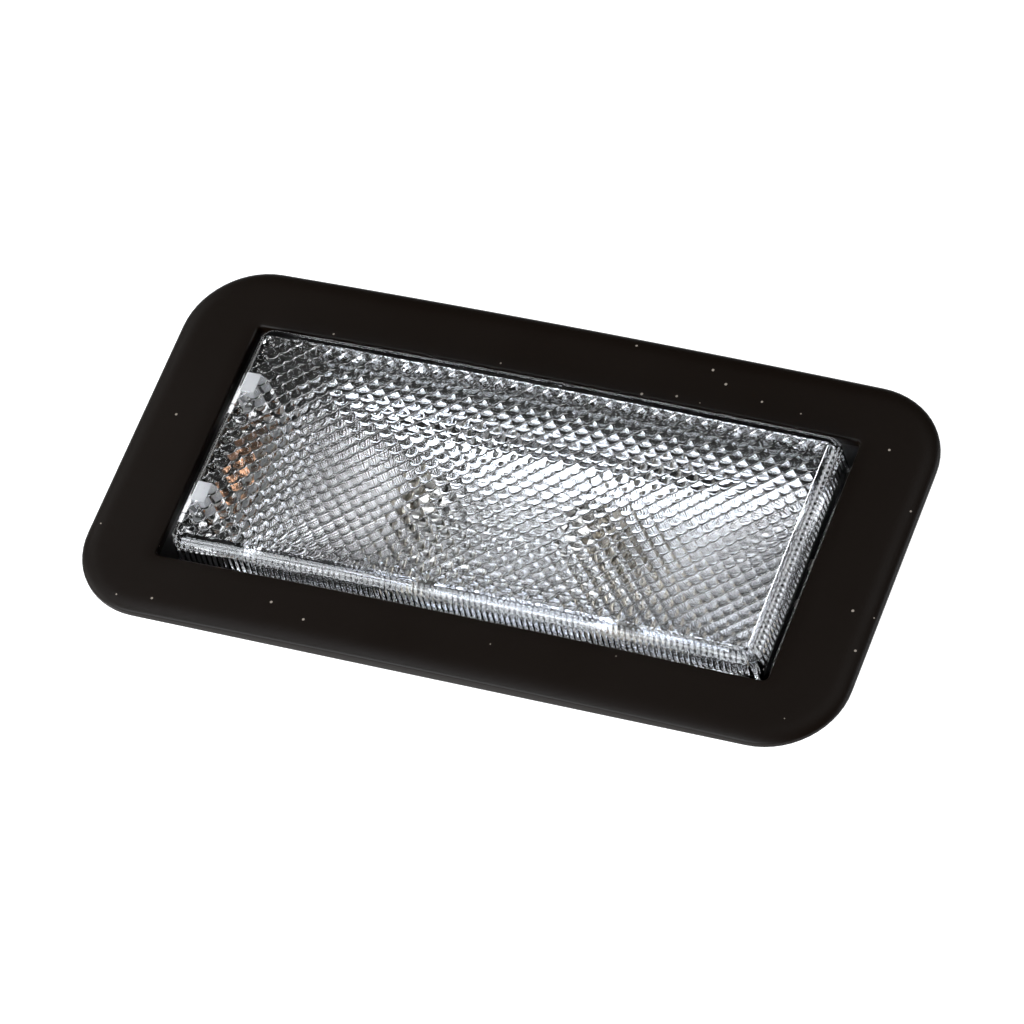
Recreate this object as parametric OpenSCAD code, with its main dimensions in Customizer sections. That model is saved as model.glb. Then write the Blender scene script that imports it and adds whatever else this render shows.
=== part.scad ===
// Recessed car dome light with a prismatic lens that rocks to switch it.
// Millimetres. +X runs along the lamp and +Z points out of its face.
// The origin is the middle of the bezel's flat back plane, which lies on the headliner.

/* [Bezel] */
// Length of the bezel
bezel_l = 130; // [124:1:150]
// Width of the bezel
bezel_w = 67.1; // [62:0.1:80]
// Plan radius of the bezel's corners
bezel_r = 12.9; // [9:0.1:16]
// Thickness of the flange
flange_t = 1.2; // [1:0.1:1.6]
// Rise of the face from its ends to its middle
crown_h = 1.3; // [0.8:0.1:2]
// Width of the soft outer edge
soft_w = 3.2; // [2.6:0.1:4]
// Upright part of the outer edge, below its soft curve
lip_h = 0.35; // [0.2:0.05:0.6]
// Width of the rim that touches the headliner
rim_w = 2.2; // [1.5:0.1:2.5]
// Length of the opening
opening_l = 104; // [100:1:108]
// Width of the opening
opening_w = 45.4; // [42:0.1:48]
// Plan radius of the opening's corners
opening_r = 0.9; // [0.8:0.1:2]
// Radius of the rounding along the opening
brow_r = 0.4; // [0.2:0.05:0.6]
// Depth of the collar that grips the housing
collar_d = 5; // [4:0.5:6]
// Wall of the collar
collar_t = 1.3; // [1:0.1:1.8]

/* [Lens] */
// Gap between the lens and the opening at the switch end
gap_switch = 2.1; // [1.6:0.1:2.6]
// Gap between the lens and the opening at the other end
gap_end = 1.7; // [1.2:0.1:2.4]
// Gap between the lens and the opening along each side
gap_side = 1.3; // [1:0.1:1.8]
// Height of the lens above the bezel's face
lens_proud = 2.5; // [1:0.1:3.5]
// Plan radius of the lens's corners
lens_r = 2.5; // [2.2:0.1:6]
// Rounding of the lens's top edge
lens_edge_r = 1.2; // [0.6:0.1:1.6]
// Thickness of the lens plate above the prisms
plate_t = 2; // [1.6:0.1:2.4]
// Thickness of the lens skirt
skirt_t = 1.9; // [1.5:0.1:2.2]
// Reach of the lens skirt below the back plane
skirt_d = 5; // [4.5:0.1:5.5]
// Growth of the lens from its top to its foot, each side
draft = 0.3; // [0:0.05:0.4]
// Mean distance from the lens's edge to the prism field
prism_inset = 2.5; // [2.4:0.1:3.4]
// Shift of the prism field towards the switch end and the far side
field_shift = 0.4; // [0:0.05:0.4]
// Corner-to-corner size of one prism
prism_pitch = 2.7; // [2.2:0.1:4]
// Height of one prism
prism_h = 0.55; // [0.3:0.05:0.8]
// Depth of the upright flutes inside the skirt
flute_d = 0.22; // [0.1:0.02:0.3]
// Height of the foot of the flutes, from the back plane
flute_z = -1; // [-2:0.1:0]

/* [Rocker] */
// Swing of the lens each way, in degrees
rock = 2; // [1:0.5:2]
// Radius of the lens's pivot pins
pin_r = 1.4; // [1.2:0.1:1.6]
// Radial clearance of the pivot pins in the housing
pin_clear = 0.06; // [0.02:0.01:0.09]
// Height of the pivot axis, from the back plane
pivot_z = -3; // [-3.2:0.1:-2.6]
// Length of a pivot pin beyond the lens skirt
pin_len = 3; // [2.6:0.1:3.1]
// Distance of each switch leg from the middle line
leg_y = 10.8; // [10:0.1:13]
// Width of a switch leg
leg_w = 3.7; // [3:0.1:4.5]
// Thickness of a switch leg's root, under the lens plate
root_t = 3.3; // [2.6:0.1:3.5]
// Reach of a switch leg below the back plane
leg_d = 12.6; // [12.4:0.1:13.5]
// Reach of the barb on a switch leg
barb = 0.8; // [0.5:0.1:0.8]

/* [Housing] */
// Step from the opening's edge back to the housing's wall
reveal = 0.4; // [0.2:0.1:0.6]
// Wall of the housing
wall_t = 1.7; // [1.4:0.1:2]
// Running clearance between the housing and the bezel's collar
fit_gap = 0.1; // [0.05:0.05:0.2]
// Depth of the shelf's upper face below the back plane
shelf_d = 7.6; // [7.2:0.1:8]
// Thickness of the shelf and the floor
floor_t = 1.6; // [1.4:0.1:2]
// Depth of the floor's upper face below the back plane
floor_d = 16.2; // [16:0.1:18]
// Length of the deep well inside
well_l = 88.8; // [86:0.1:90]
// Width of the deep well inside
well_w = 36; // [34:0.5:38]
// Plan radius of the deep well's corners
well_r = 5; // [3:0.5:7]
// Shift of the deep well away from the switch end
well_x = 3; // [2:0.1:3.4]
// Length of one cooling slot
slot_l = 14; // [8:1:18]
// Width of one cooling slot
slot_w = 2.2; // [1.5:0.1:3]
// Number of cooling slots
slot_n = 4; // [2:1:5]
// Distance of the snap noses from the middle
snap_x = 30; // [20:1:38]
// Length of a snap nose
snap_l = 6; // [4:0.5:8]

/* [Reflector] */
// Thickness of the reflector sheet
sheet_t = 0.6; // [0.4:0.1:0.8]
// Gap between the reflector bowl and the floor, for the rivet heads
bowl_lift = 1.6; // [1.3:0.1:2]
// Reach of the reflector's flange over each side of the well
flange_over = 2; // [1.6:0.1:2.4]
// Clearance round the bowl inside the well
bowl_gap = 0.5; // [0.3:0.1:1]
// Bend radius at the ends of the bowl
bowl_r = 6; // [3:0.5:6]

/* [Bulb] */
// Depth of the bulb's axis below the back plane
bulb_d = 6; // [5.8:0.1:6.4]
// Radius of the glass at its middle
glass_r = 5.2; // [4.6:0.1:5.3]
// Radius of the glass at its ends, and of the caps
cap_r = 4; // [3.6:0.1:4.2]
// Length of the glass between the caps
glass_l = 22; // [20:0.5:24]
// Wall of the glass
glass_t = 0.5; // [0.4:0.1:0.7]
// Length of the round part of a cap
cap_l = 3.6; // [3:0.1:4]
// Length of the cone of a cap
cone_l = 2; // [1.6:0.1:2.4]
// Radius of the tip of a cap
tip_r = 1.8; // [1.5:0.1:2]
// Length of the tip of a cap
tip_l = 1.3; // [1:0.1:1.6]
// Radius of the coiled filament
filament_r = 0.35; // [0.2:0.05:0.5]

/* [Contacts] */
// Thickness of the bulb clips
clip_t = 0.5; // [0.4:0.1:0.6]
// Width of the bulb clips
clip_w = 8; // [6:0.5:9]
// Height of the bulb clips above the bulb's axis
clip_top = 3.6; // [3:0.1:4]
// Radial clearance of a bulb tip in its clip
tip_gap = 0.05; // [0.03:0.01:0.1]
// Length of a bulb clip's foot
foot_l = 9; // [8:0.5:10]
// Radius of a rivet's shank
rivet_r = 1.3; // [1:0.1:1.5]
// Radius of a rivet's head
head_r = 2.3; // [2:0.1:2.3]
// Radius of a small rivet's shank, at the leaf and the panel clips
small_r = 0.7; // [0.5:0.05:0.8]
// Radius of a small rivet's head
small_head_r = 1.15; // [1:0.05:1.2]
// Height of a small rivet's head
small_head_h = 0.4; // [0.3:0.05:0.5]
// Height of a rivet's head
head_h = 0.6; // [0.4:0.1:0.7]
// Thickness of a terminal
blade_t = 0.8; // [0.6:0.1:1]
// Width of a terminal's blade
blade_w = 6.3; // [4.8:0.1:6.3]
// Length of a terminal's blade
blade_l = 8; // [7:0.5:9]
// Radius of the latch hole in a terminal's blade
latch_r = 0.85; // [0.6:0.05:1]

/* [Switch] */
// Width of the copper leaf
leaf_w = 3.3; // [2.6:0.1:3.4]
// Thickness of the copper leaf
leaf_t = 0.35; // [0.25:0.05:0.45]
// Span of the leaf's arch
leaf_span = 16; // [14:0.5:17]
// Rise of the leaf's arch above its feet
leaf_rise = 5; // [4.5:0.1:5.3]
// Length of each foot of the leaf
leaf_foot = 3; // [2.8:0.1:3.2]
// Place of the leaf along the width of the lamp
leaf_y = 0; // [-2:0.5:0.5]
// Thickness of the switch base under the leaf's feet
base_t = 1.4; // [1:0.1:1.6]

/* [Panel clips] */
// Width of a panel clip
spring_w = 14; // [10:1:18]
// Thickness of a panel clip
spring_t = 0.6; // [0.5:0.1:0.8]
// Reach of a panel clip's nose beyond the collar
spring_reach = 3; // [2:0.5:4]
// Bend radius at the foot of a panel clip
spring_r = 1.2; // [1:0.1:1.5]
// Drop of a panel clip's foot below the shelf
spring_drop = 4; // [3:0.5:5]
// Length of a panel clip's nose
nose_l = 1.2; // [0.8:0.1:1.6]
// Gap from the back plane to a panel clip's nose, for the headliner
panel_gap = 7; // [6.4:0.2:8]

/* [Hidden] */

// Small sizes and clearances shared by several pieces
eps = 0.01;
seat_gap = 0.05;
hole_gap = 0.1;
round_fn = 48;

// Housing, worked out from the opening
tub_in_l = opening_l + 2 * reveal;
tub_in_w = opening_w + 2 * reveal;
tub_l = tub_in_l + 2 * wall_t;
tub_w = tub_in_w + 2 * wall_t;
tub_r = opening_r + reveal + wall_t;
well_out_l = well_l + 2 * wall_t;
well_out_w = well_w + 2 * wall_t;
collar_l = tub_l + 2 * fit_gap;
collar_w = tub_w + 2 * fit_gap;
snap_out = 0.9;
snap_h = 1.6;
snap_z = -3.6;

// Lens, worked out from the opening and its gaps
lens_l = opening_l - gap_switch - gap_end;
lens_w = opening_w - 2 * gap_side;
lens_x = (gap_switch - gap_end) / 2;
field_l = lens_l - 2 * prism_inset;
field_w = lens_w - 2 * prism_inset;
cols = round(field_l / prism_pitch);
rows = round(field_w / prism_pitch);
slope_inset = prism_inset - field_shift - 0.1;
corner_n = 6;
leg_x = lens_x - lens_l / 2 - draft;
leg_t = skirt_t + 0.2;
leg_play = 0.5;
barb_h = 1.2;
swing = (lens_l / 2) * sin(rock);

// Reflector
bowl_d = floor_d - shelf_d - bowl_lift;

// Bulb and clips
glass_h = glass_l / 2;
cone_x = glass_h + cap_l;
tip_x = cone_x + cone_l;
bulb_tip = tip_x + tip_l;
clip_x = tip_x + seat_gap;
foot_z = -floor_d;
rivet_x = clip_x + foot_l / 2 + 0.5;
bend_r = 1;

// Switch
leaf_x = leg_x + leg_t + leaf_w / 2 + 0.85;
base_z = -shelf_d + base_t;
arch_r = (leaf_span * leaf_span / 4 + leaf_rise * leaf_rise) / (2 * leaf_rise);
leaf_end = leaf_span / 2 + leaf_foot / 2;
button_r = 1.2;
button_y = head_r + button_r + 0.3;

// Panel clip rivets, between the shelf and the collar
panel_rivet_z = -shelf_d + small_head_r + 0.1;
panel_rivet_y = spring_w / 4;
button_top = base_z + 2.2;

// Height of the face above its ends, at a place along the lamp
function crown(x) = crown_h * (1 - pow(2 * x / bezel_l, 2));

// Points of a rounded rectangle, counter-clockwise from the near left
function side(p, q, n) = [for (k = [0:n]) p + (q - p) * k / n];
function bend(c, r, a, n) = [for (k = [1:n - 1]) c + r * [cos(a + 90 * k / n), sin(a + 90 * k / n)]];
function outline(l, w, r, nl, nw, nc) =
    let (x = l / 2 - r, y = w / 2 - r)
    concat(side([-x, -w / 2], [x, -w / 2], nl), bend([x, -y], r, -90, nc),
        side([l / 2, -y], [l / 2, y], nw), bend([x, y], r, 0, nc),
        side([x, w / 2], [-x, w / 2], nl), bend([-x, y], r, 90, nc),
        side([-l / 2, y], [-l / 2, -y], nw), bend([-x, -y], r, 180, nc));
function ring_size(nl, nw, nc) = 2 * (nl + nw) + 4 * nc;

// A ring set at a height that follows the crown by the share c
function raised(pts, x0, z, c) = [for (p = pts) [p[0] + x0, p[1], z + c * crown(p[0] + x0)]];

// The eight stretches of a ring's indices, straight sides and corners in turn
function stretch(o, first, n, size) = [for (k = [0:n]) o + (first + k) % size];
function stretches(o, nl, nw, nc) =
    let (s = ring_size(nl, nw, nc), a = nl, b = nl + nc, c = b + nw, d = c + nc)
    [stretch(o, 0, nl, s), stretch(o, a, nc, s), stretch(o, b, nw, s), stretch(o, c, nc, s),
        stretch(o, d, nl, s), stretch(o, d + nl, nc, s), stretch(o, d + nl + nc, nw, s),
        stretch(o, d + nl + nc + nw, nc, s)];

// Triangles between two lines of points, where the second has a whole multiple of the first's
function strip(a, b) =
    let (na = len(a) - 1, nb = len(b) - 1)
    na == 0
    ? [for (k = [0:nb - 1]) [b[k + 1], b[k], a[0]]]
    : let (q = nb / na, m = ceil(q / 2))
      [for (j = [0:na - 1]) each concat(
          [for (k = [0:q - 1]) [b[j * q + k + 1], b[j * q + k], a[j + (k >= m ? 1 : 0)]]],
          [[b[j * q + m], a[j], a[j + 1]]])];
function bridge(a, b) = [for (s = [0:7]) each strip(a[s], b[s])];
function turned(faces) = [for (f = faces) [f[2], f[1], f[0]]];

// A flat rounded rectangle made of true arcs
module pad(l, w, r) {
    square([l - 2 * r, w], center = true);
    square([l, w - 2 * r], center = true);
    for (sx = [-1, 1], sy = [-1, 1])
        translate([sx * (l / 2 - r), sy * (w / 2 - r)]) circle(r, $fn = round_fn);
}

// A flat shape in the X-Z plane, drawn out along Y
module across(w) {
    rotate([90, 0, 0]) linear_extrude(w, center = true) children();
}

// A strip bent to a right angle: its foot runs along +X and its upright along +Y
module angle_strip(foot, upright, t, r) {
    translate([r, 0]) square([foot - r, t]);
    translate([0, r]) square([t, upright - r]);
    intersection() {
        translate([r, r]) difference() {
            circle(r, $fn = round_fn);
            circle(r - t, $fn = round_fn);
        }
        square(r);
    }
}

// A rivet on the Z axis: heads of radius b and height h above z = top and below z = bottom
module rivet(top, bottom, a, b, h) {
    translate([0, 0, bottom - h]) rotate_extrude($fn = round_fn) union() {
        square([a, top - bottom + 2 * h]);
        square([b, h]);
        translate([0, top - bottom + h]) square([b, h]);
    }
}

// Bezel

bezel_nl = 12;
bezel_nw = 2;
bezel_nc = 8;
brow_n = 3;
soft_n = 5;

function bezel_ring(l, w, r, z, c) = raised(outline(l, w, r, bezel_nl, bezel_nw, bezel_nc), 0, z, c);
function inset_ring(d, z, c) = bezel_ring(bezel_l - 2 * d, bezel_w - 2 * d, bezel_r - d, z, c);
function opening_ring(d, z, c) = bezel_ring(opening_l + 2 * d, opening_w + 2 * d, opening_r + d, z, c);
function collar_ring(d, z, c) = bezel_ring(collar_l + 2 * d, collar_w + 2 * d, tub_r + fit_gap + d, z, c);

bezel_rings = concat(
    [inset_ring(0, 0, 0), inset_ring(0, lip_h, 1)],
    [for (k = [1:soft_n]) let (t = 90 * k / soft_n)
        inset_ring(soft_w * (1 - cos(t)), lip_h + (flange_t - lip_h) * sin(t), 1)],
    [for (k = [0:brow_n]) let (t = 90 * k / brow_n)
        opening_ring(brow_r * (1 - sin(t)), flange_t - brow_r * (1 - cos(t)), 1)],
    [opening_ring(0, 0, 0), collar_ring(0, 0, 0), collar_ring(0, -collar_d, 0),
        collar_ring(collar_t, -collar_d, 0), collar_ring(collar_t, 0, 1),
        inset_ring(rim_w, 0, 1), inset_ring(rim_w, 0, 0)]);

module bezel_shell() {
    s = ring_size(bezel_nl, bezel_nw, bezel_nc);
    n = len(bezel_rings);
    around = [for (i = [0:n - 1]) stretches(i * s, bezel_nl, bezel_nw, bezel_nc)];
    polyhedron(points = [for (r = bezel_rings) each r],
        faces = [for (i = [0:n - 1]) each turned(bridge(around[i], around[(i + 1) % n]))]);
}

module bezel() {
    color([0.13, 0.11, 0.1]) difference() {
        bezel_shell();
        for (sx = [-1, 1], sy = [-1, 1])
            translate([sx * snap_x, sy * (collar_w / 2 + collar_t / 2), snap_z + snap_h / 2])
                cube([snap_l + 2 * hole_gap, collar_t + 1, snap_h + 2 * hole_gap], center = true);
    }
}

// Rear housing

module snap_nose() {
    rotate([90, 0, 90]) linear_extrude(snap_l, center = true)
        polygon([[-eps, 0], [snap_out, snap_h], [-eps, snap_h]]);
}

module rear_housing() {
    color([0.16, 0.15, 0.15]) difference() {
        union() {
            difference() {
                translate([0, 0, -shelf_d - floor_t]) linear_extrude(shelf_d + floor_t)
                    pad(tub_l, tub_w, tub_r);
                translate([0, 0, -shelf_d]) linear_extrude(shelf_d + 1)
                    pad(tub_in_l, tub_in_w, opening_r + reveal);
            }
            translate([well_x, 0, -floor_d - floor_t]) linear_extrude(floor_d - shelf_d + floor_t - 0.2)
                pad(well_out_l, well_out_w, well_r + wall_t);
            for (sx = [-1, 1]) translate([sx * snap_x, 0, snap_z]) {
                translate([0, tub_w / 2, 0]) snap_nose();
                translate([0, -tub_w / 2, 0]) mirror([0, 1, 0]) snap_nose();
            }
        }
        translate([well_x, 0, -floor_d]) linear_extrude(floor_d)
            pad(well_l, well_w, well_r);
        translate([lens_x, 0, pivot_z]) rotate([90, 0, 0])
            cylinder(r = pin_r + pin_clear, h = tub_w + 2, center = true, $fn = round_fn);
        leg_windows();
        cooling_slots();
        for (x = [-rivet_x, rivet_x]) translate([x, 0, -floor_d - floor_t - 1])
            cylinder(r = rivet_r + seat_gap, h = floor_t + 2, $fn = round_fn);
        translate([leaf_x, leaf_y, -shelf_d - floor_t - 1])
            cylinder(r = rivet_r + seat_gap, h = floor_t + 2, $fn = round_fn);
        for (sx = [-1, 1], sy = [-1, 1])
            translate([sx * tub_l / 2, sy * panel_rivet_y, panel_rivet_z]) rotate([0, 90, 0])
                cylinder(r = small_r + seat_gap, h = 4 * wall_t, center = true, $fn = round_fn);
    }
}

// Openings in the shelf that the lens's switch legs drop through
module leg_windows() {
    for (sy = [-1, 1]) translate([leg_x - barb - leg_play, sy * leg_y - leg_w / 2 - leg_play,
            -shelf_d - floor_t - 1])
        cube([leg_t + barb + 2 * leg_play, leg_w + 2 * leg_play, floor_t + 2]);
}

module cooling_slots() {
    pitch = slot_w + 2 * floor_t;
    for (k = [0:slot_n - 1])
        translate([0, (k - (slot_n - 1) / 2) * pitch, -floor_d - floor_t - 1])
            linear_extrude(floor_t + 2) pad(slot_l, slot_w, slot_w / 2 - eps);
}

// Lens

function lens_top(x) = flange_t + crown(x) + lens_proud;
function lens_ring(d, drop, nl, nw) = [for (p = outline(lens_l - 2 * d, lens_w - 2 * d,
    lens_r - d, nl, nw, corner_n)) [p[0] + lens_x, p[1], lens_top(p[0] + lens_x) - drop]];
function skirt_ring(d, z) = raised(outline(lens_l - 2 * d, lens_w - 2 * d, lens_r - d,
    cols, rows, corner_n), lens_x, z, 0);

// Fluted rings: every second point along the straight sides steps outwards
flutes = 6;
function fluted(d, cut, low) =
    let (nl = cols * flutes, nw = rows * flutes, base = outline(lens_l - 2 * d, lens_w - 2 * d,
        lens_r - d, nl, nw, corner_n), s1 = nl, s2 = nl + corner_n, s3 = s2 + nw,
        s4 = s3 + corner_n, s5 = s4 + nl, s6 = s5 + corner_n, s7 = s6 + nw)
    [for (k = [0:len(base) - 1]) let (p = base[k],
        sy = k <= s1 && k % 2 == 1 ? -1 : k >= s4 && k <= s5 && (k - s4) % 2 == 1 ? 1 : 0,
        sx = k >= s2 && k <= s3 && (k - s2) % 2 == 1 ? 1 : k >= s6 && k <= s7 && (k - s6) % 2 == 1 ? -1 : 0,
        x = p[0] + lens_x)
        [x + sx * cut, p[1] + sy * cut, low == 0 ? lens_top(x) - plate_t : low]];

// The prism field: a square grid whose points are tops and valleys in turn
grid_x = 2 * cols;
grid_y = 2 * rows;
function field_point(i, j) =
    let (x = lens_x - field_shift + field_l * (i / grid_x - 0.5), y = field_shift + field_w * (j / grid_y - 0.5),
        rim = i == 0 || j == 0 || i == grid_x || j == grid_y,
        tip = (i + j) % 2 == 1 && !rim ? prism_h : 0)
    [x, y, lens_top(x) - plate_t - tip];
field = [for (j = [0:grid_y], i = [0:grid_x]) field_point(i, j)];
function at(o, i, j) = o + j * (grid_x + 1) + i;
function field_faces(o) = [for (j = [0:grid_y - 1], i = [0:grid_x - 1]) each
    (i + j) % 2 == 0
    ? [[at(o, i, j), at(o, i + 1, j), at(o, i + 1, j + 1)], [at(o, i, j), at(o, i + 1, j + 1), at(o, i, j + 1)]]
    : [[at(o, i, j), at(o, i + 1, j), at(o, i, j + 1)], [at(o, i + 1, j), at(o, i + 1, j + 1), at(o, i, j + 1)]]];
function field_edge(o) = [
    [for (i = [0:grid_x]) at(o, i, 0)], [at(o, grid_x, 0)],
    [for (j = [0:grid_y]) at(o, grid_x, j)], [at(o, grid_x, grid_y)],
    [for (i = [grid_x:-1:0]) at(o, i, grid_y)], [at(o, 0, grid_y)],
    [for (j = [grid_y:-1:0]) at(o, 0, j)], [at(o, 0, 0)]];

edge_n = 3;
shell_rings = concat(
    [for (k = [0:edge_n]) let (t = 90 * k / edge_n)
        lens_ring(lens_edge_r * (1 - sin(t)), lens_edge_r * (1 - cos(t)), cols, rows)],
    [skirt_ring(-draft, -skirt_d), skirt_ring(skirt_t - draft, -skirt_d),
        skirt_ring(skirt_t, flute_z - 0.3)]);

// The plate's top: strips between the two long sides, the corners' arcs and the short sides
function quad(a, b, c, d) = [[a, b, c], [a, c, d]];
function lid(s) =
    let (e1 = cols + corner_n, far = e1 + rows + corner_n,
        near = [for (k = [0:e1 - 1]) k], back = [for (k = [0:e1 - 1]) far + cols - k],
        left = [for (k = [1:corner_n - 1]) s - k], left_far = [for (k = [1:corner_n - 1]) far + cols + k],
        right_end = [for (k = [0:rows]) e1 + k], left_end = [for (k = [0:rows]) far + cols + corner_n + k])
    concat(
        [for (k = [0:e1 - 2]) each quad(back[k], back[k + 1], near[k + 1], near[k])],
        [for (k = [0:corner_n - 3]) each quad(left_far[k + 1], left_far[k], left[k], left[k + 1])],
        quad(left_far[0], back[0], near[0], left[0]),
        strip([near[e1 - 1], back[e1 - 1]], right_end),
        strip([left_far[corner_n - 2], left[corner_n - 2]], left_end));

module lens_tray() {
    s = ring_size(cols, rows, corner_n);
    n = len(shell_rings);
    fine = ring_size(cols * flutes, rows * flutes, corner_n);
    foot = fluted(skirt_t, flute_d, flute_z);
    head = fluted(slope_inset, flute_d, 0);
    o_foot = n * s;
    o_head = o_foot + fine;
    o_field = o_head + fine;
    around = [for (i = [0:n - 1]) stretches(i * s, cols, rows, corner_n)];
    foot_at = stretches(o_foot, cols * flutes, rows * flutes, corner_n);
    head_at = stretches(o_head, cols * flutes, rows * flutes, corner_n);
    polyhedron(points = concat([for (r = shell_rings) each r], foot, head, field),
        faces = concat(lid(s),
            [for (i = [0:n - 2]) each bridge(around[i], around[i + 1])],
            bridge(around[n - 1], foot_at), bridge(foot_at, head_at),
            turned(bridge(field_edge(o_field), head_at)), field_faces(o_field)));
}

// One switch leg: a flat post with a barb, below a stout root inside the switch end
module switch_leg() {
    root_top = lens_top(leg_x) - plate_t + 0.3;
    across(leg_w) polygon([[leg_x + skirt_t / 2, root_top], [leg_x + skirt_t / 2, -skirt_d], [leg_x, -skirt_d],
        [leg_x, barb_h - leg_d], [leg_x - barb, barb_h - leg_d], [leg_x - barb, barb_h / 2 - leg_d],
        [leg_x, -leg_d], [leg_x + leg_t, -leg_d], [leg_x + leg_t, pivot_z], [leg_x + root_t, pivot_z],
        [leg_x + root_t, root_top]]);
}

module lens() {
    color([0.82, 0.86, 0.9, 0.5]) union() {
        lens_tray();
        for (sy = [-1, 1]) {
            translate([lens_x, sy * (lens_w / 2 + draft - skirt_t / 2), pivot_z]) rotate([-sy * 90, 0, 0])
                cylinder(r = pin_r, h = skirt_t / 2 + pin_len, $fn = round_fn);
            translate([0, sy * leg_y, 0]) switch_leg();
        }
    }
}

// Reflector

// The bowl as a solid, drawn in by d: a round trough with round ends
module bowl(d) {
    w = well_w - 2 * bowl_gap - 2 * d;
    l = well_l - 2 * bowl_gap - 2 * d;
    depth = bowl_d - d;
    r = (w * w / 4 + depth * depth) / (2 * depth);
    intersection() {
        rotate([90, 0, 90]) linear_extrude(l, center = true) intersection() {
            translate([0, r - depth]) circle(r, $fn = 4 * round_fn);
            translate([-w / 2, -depth - 1]) square([w, depth + 1 + sheet_t]);
        }
        across(w + 2) union() {
            translate([-l / 2, -depth + bowl_r]) square([l, depth - bowl_r + sheet_t]);
            translate([-l / 2 + bowl_r, -depth - 1]) square([l - 2 * bowl_r, depth + 1]);
            for (sx = [-1, 1]) translate([sx * (l / 2 - bowl_r), bowl_r - depth]) circle(bowl_r, $fn = 2 * round_fn);
        }
        translate([0, 0, -depth - 1]) linear_extrude(depth + 2) mouth(d);
    }
}

// The bowl's mouth, a named gap inside the well's corners
module mouth(d) {
    pad(well_l - 2 * bowl_gap - 2 * d, well_w - 2 * bowl_gap - 2 * d, well_r - bowl_gap - d);
}

module reflector() {
    flange_l = well_l + 2 * flange_over;
    flange_w = tub_in_w - 2 * gap_side;
    color([0.8, 0.81, 0.83]) translate([well_x, 0, -shelf_d]) difference() {
        union() {
            linear_extrude(sheet_t) pad(flange_l, flange_w, well_r);
            bowl(0);
        }
        translate([0, 0, eps]) bowl(sheet_t);
        linear_extrude(3) mouth(sheet_t);
        for (sx = [-1, 1]) translate([sx * (clip_x + clip_t / 2) - well_x, 0, -bowl_d])
            cube([clip_t + 1.6, clip_w + 1, 2 * bowl_d], center = true);
    }
}

// Bulb

// A solid of revolution about the bulb's axis, from a profile with X along the axis
module turned_on_axis() {
    translate([0, 0, -bulb_d]) rotate([0, 90, 0]) rotate_extrude($fn = round_fn)
        rotate(90) children();
}

// Half profile of the glass: a long barrel with its belly at the middle
module barrel(d, h) {
    rise = glass_r - cap_r;
    r = (glass_h * glass_h + rise * rise) / (2 * rise);
    intersection() {
        translate([0, glass_r - d - r]) circle(r, $fn = 4 * round_fn);
        translate([-h, 0]) square([2 * h, glass_r]);
    }
}

module bulb_glass() {
    color([0.9, 0.93, 0.95, 0.4]) turned_on_axis() mirror([0, 1]) difference() {
        barrel(0, glass_h);
        barrel(glass_t, glass_h - glass_t);
    }
}

module bulb_cap() {
    color([0.75, 0.72, 0.66]) turned_on_axis() mirror([0, 1])
        polygon([[glass_h, 0], [glass_h, cap_r], [cone_x, cap_r], [tip_x, tip_r], [bulb_tip - 0.5, tip_r],
            [bulb_tip, tip_r - 0.6], [bulb_tip, 0]]);
}

module bulb_cap_left() { mirror([1, 0, 0]) bulb_cap(); }
module bulb_cap_right() { bulb_cap(); }

module bulb_filament() {
    h = glass_h - glass_t;
    color([0.5, 0.48, 0.45]) translate([0, 0, -bulb_d]) rotate([0, 90, 0]) union() {
        cylinder(r = filament_r, h = glass_l / 2, center = true, $fn = 24);
        cylinder(r = filament_r / 2, h = 2 * h - 2 * eps, center = true, $fn = 24);
    }
}

// Bulb clips and terminals

module bulb_clip() {
    color([0.78, 0.66, 0.4]) difference() {
        translate([clip_x, 0, foot_z]) across(clip_w)
            angle_strip(foot_l, floor_d - bulb_d + clip_top, clip_t, bend_r);
        translate([clip_x - 1, 0, -bulb_d]) rotate([0, 90, 0])
            cylinder(r = tip_r + tip_gap, h = 3, $fn = round_fn);
        translate([rivet_x, 0, foot_z - 1]) cylinder(r = rivet_r + seat_gap, h = 3, $fn = round_fn);
    }
}

module bulb_clip_left() { mirror([1, 0, 0]) bulb_clip(); }
module bulb_clip_right() { bulb_clip(); }

module supply_rivet() { floor_rivet(-rivet_x); }
module earth_rivet() { floor_rivet(rivet_x); }
module floor_rivet(x) {
    color([0.8, 0.78, 0.72]) translate([x, 0, 0])
        rivet(-floor_d + clip_t, -floor_d - floor_t - blade_t, rivet_r, head_r, head_h);
}

// A blade terminal: a foot on the housing's back and a blade that points away from it
module terminal() {
    foot = head_r + 2.6;
    color([0.8, 0.76, 0.62]) difference() {
        union() {
            translate([foot, 0, 0]) mirror([0, 0, 1]) across(blade_w) mirror([1, 0])
                angle_strip(foot + head_r + 0.1, blade_l, blade_t, blade_t + 0.6);
            translate([foot - blade_t, 0, -blade_l]) rotate([0, 90, 0]) linear_extrude(blade_t)
                polygon([[0, -blade_w / 2], [1.2, 1.2 - blade_w / 2], [1.2, blade_w / 2 - 1.2], [0, blade_w / 2]]);
        }
        translate([0, 0, -3]) cylinder(r = rivet_r + seat_gap, h = 6, $fn = round_fn);
        translate([foot, 0, 1.8 - blade_l]) rotate([0, 90, 0])
            cylinder(r = latch_r, h = 4, center = true, $fn = round_fn);
    }
}

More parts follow.
